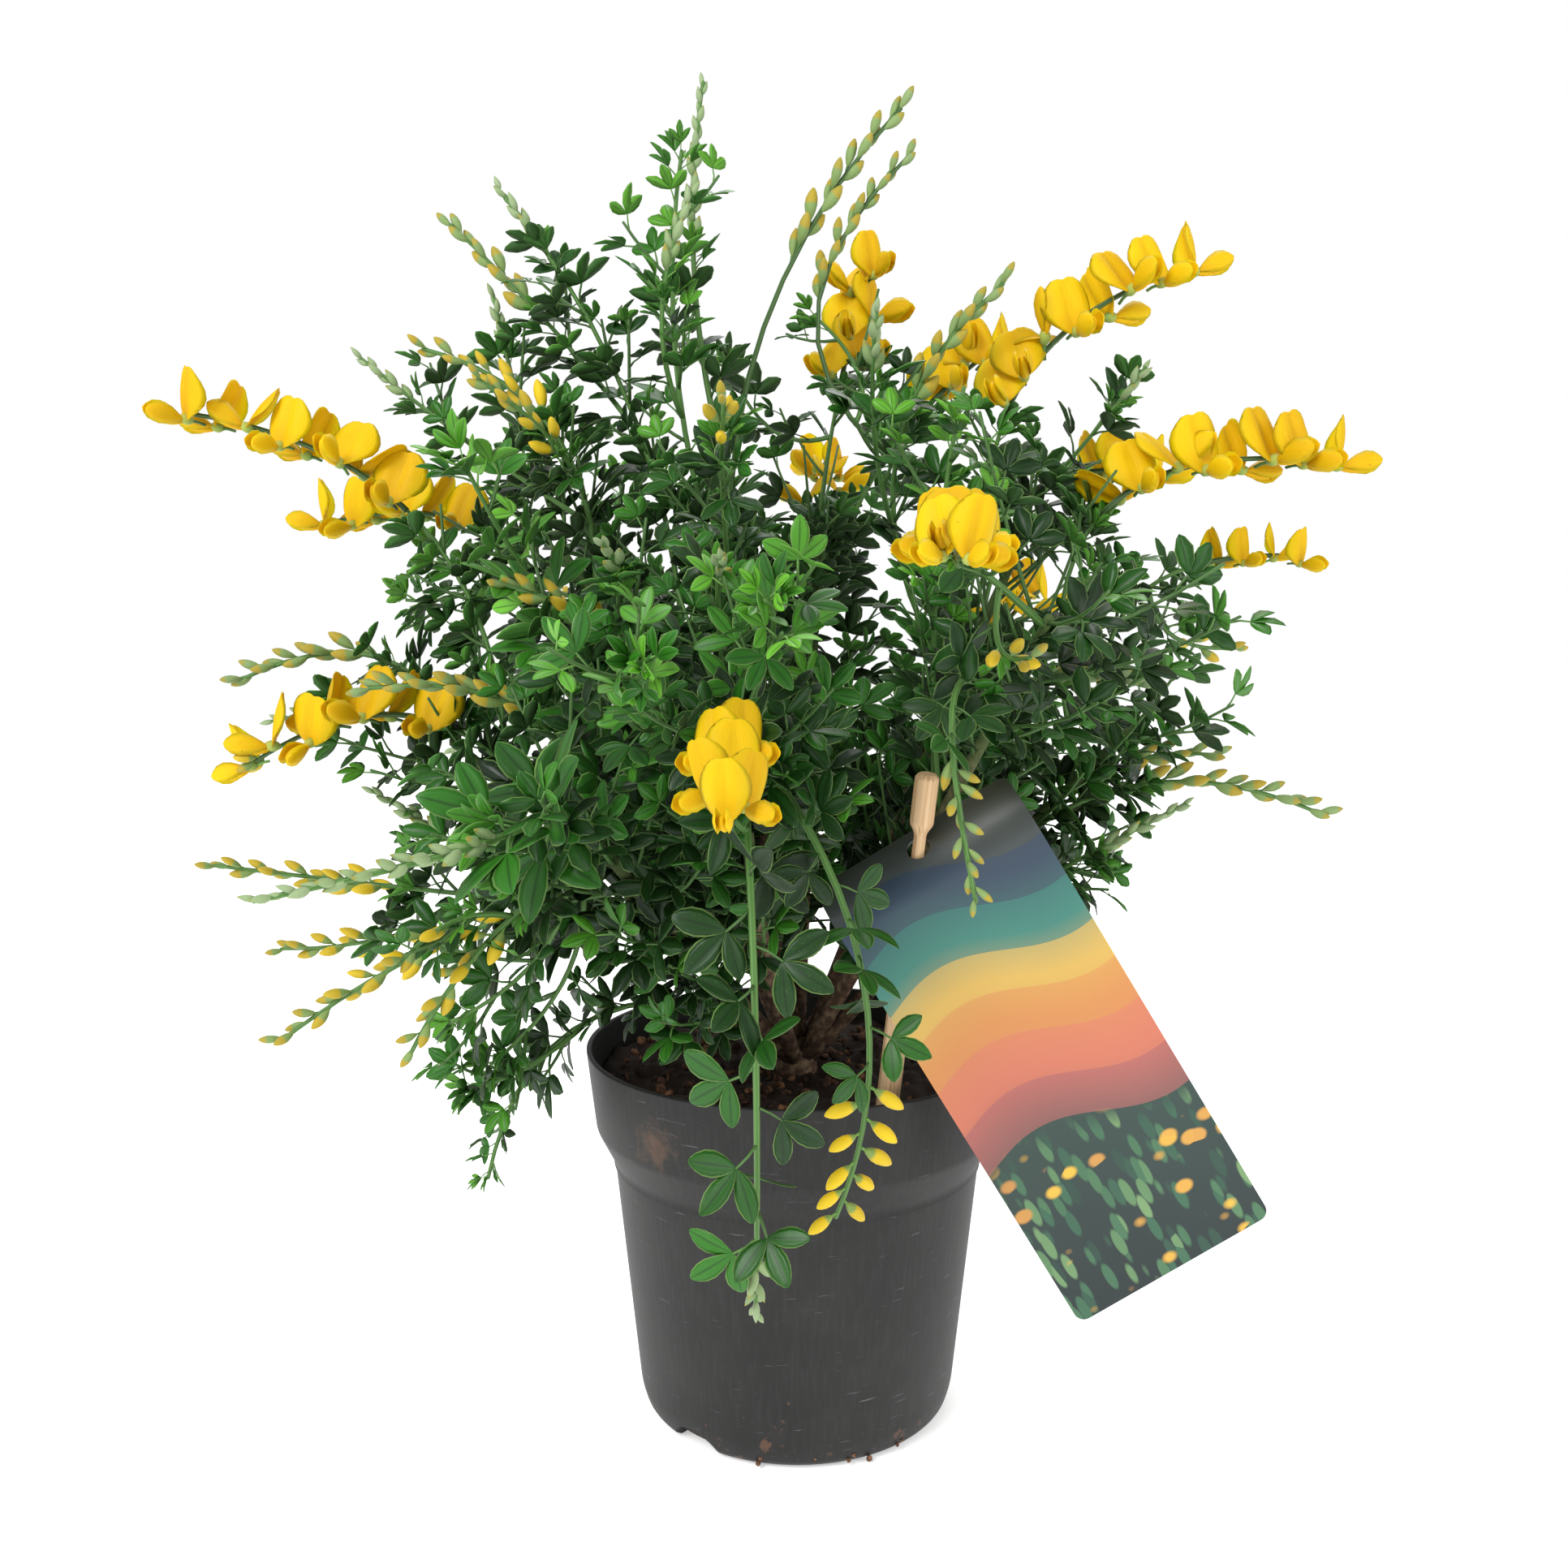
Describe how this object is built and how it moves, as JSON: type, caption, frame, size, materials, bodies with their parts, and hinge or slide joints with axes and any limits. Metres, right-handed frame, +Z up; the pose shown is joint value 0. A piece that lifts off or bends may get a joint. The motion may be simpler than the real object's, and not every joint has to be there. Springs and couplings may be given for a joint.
{
  "type": "potted broom shrub",
  "caption": "A flowering broom shrub in a round anthracite nursery pot, with a wooden stake and a hanging picture label.",
  "frame": {"origin": "centre of the pot's underside", "axes": "+Z up, -Y the way the label's printed face looks, +X to its reader's right"},
  "size_m": [0.351, 0.3278, 0.4039],
  "materials": {
    "pot_plastic": "matte",
    "soil": "matte",
    "stake_wood": "matte",
    "label_card": "satin",
    "bark": "matte",
    "leaf": "satin",
    "petal": "satin"
  },
  "bodies": {
    "root": {"top_leafy": "leaf", "top_spike": "leaf", "right_wand": "leaf", "right_wand_back": "leaf", "upper_left": "leaf", "dark_spike": "leaf", "left_arm": "leaf", "bloom_left_top": "leaf", "bloom_left_top_flowers": "petal", "bloom_left_back": "leaf", "bloom_left_back_flowers": "petal", "left_low": "leaf", "left_mid": "leaf", "bloom_left_low": "leaf", "bloom_left_low_flowers": "petal", "front_spike": "leaf", "left_hook": "leaf", "left_droop": "leaf", "left_front_droop": "leaf", "rim_droop": "leaf", "hanging_leafy": "leaf", "hanging_buds": "leaf", "label_buds": "leaf", "bloom_front_low": "leaf", "bloom_front_low_flowers": "petal", "bloom_front_high": "leaf", "bloom_front_high_flowers": "petal", "top_front": "leaf", "centre_spike": "leaf", "centre_buds": "leaf", "right_top": "leaf", "bloom_back_top": "leaf", "bloom_back_top_flowers": "petal", "bloom_back_right": "leaf", "bloom_back_right_flowers": "petal", "fresh_right": "leaf", "bloom_right_top": "leaf", "bloom_right_top_flowers": "petal", "bloom_right": "leaf", "bloom_right_flowers": "petal", "bloom_right_back": "leaf", "bloom_right_back_flowers": "petal", "bloom_right_low": "leaf", "bloom_right_low_flowers": "petal", "right_leafy": "leaf", "right_long": "leaf", "right_fringe": "leaf", "bloom_behind": "leaf", "bloom_behind_flowers": "petal", "behind_left": "leaf", "bloom_behind_right": "leaf", "bloom_behind_right_flowers": "petal", "behind_right_low": "leaf", "behind_low_mid": "leaf", "back_leafy": "leaf", "wood": "bark", "pot": "pot_plastic", "soil": "soil", "stake": "stake_wood", "label": "label_card"}
  },
  "joints": []
}
